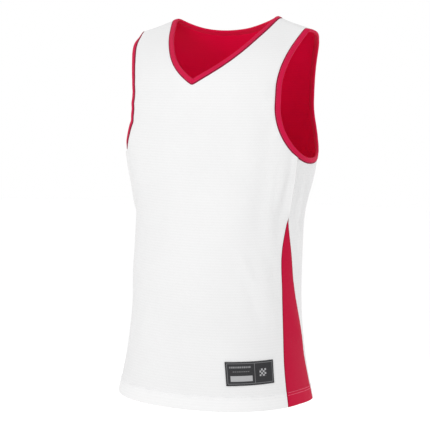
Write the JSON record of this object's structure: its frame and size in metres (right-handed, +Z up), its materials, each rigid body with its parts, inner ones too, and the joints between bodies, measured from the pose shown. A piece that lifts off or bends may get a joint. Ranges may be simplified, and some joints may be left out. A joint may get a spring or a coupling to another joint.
{
  "type": "basketball jersey",
  "caption": "Sleeveless two-layer basketball jersey with a V neck, bound armholes and wedge side inserts, kept in its worn, hollow form.",
  "frame": {"origin": "midway between the two points where the shoulder seams meet the neck, where the wearer's shoulders hold the garment", "axes": "+Z up along the garment's length, -Y towards the wearer's front, +X towards the wearer's left"},
  "size_m": [0.3422, 0.2726, 0.6294],
  "materials": {
    "white_knit": "matt fine-ribbed polyester knit",
    "lining_knit": "matt polyester knit",
    "red_knit": "polyester knit with a slight sheen",
    "binding": "folded knit band",
    "woven_label": "woven damask label"
  },
  "bodies": {
    "root": {"front_panel": "white_knit", "back_panel": "white_knit", "lining_front": "lining_knit", "lining_back": "lining_knit", "side_insert_left": "red_knit", "side_insert_right": "red_knit", "neck_binding": "binding", "armhole_binding_left": "binding", "armhole_binding_right": "binding", "hem_label": "woven_label"}
  },
  "joints": []
}
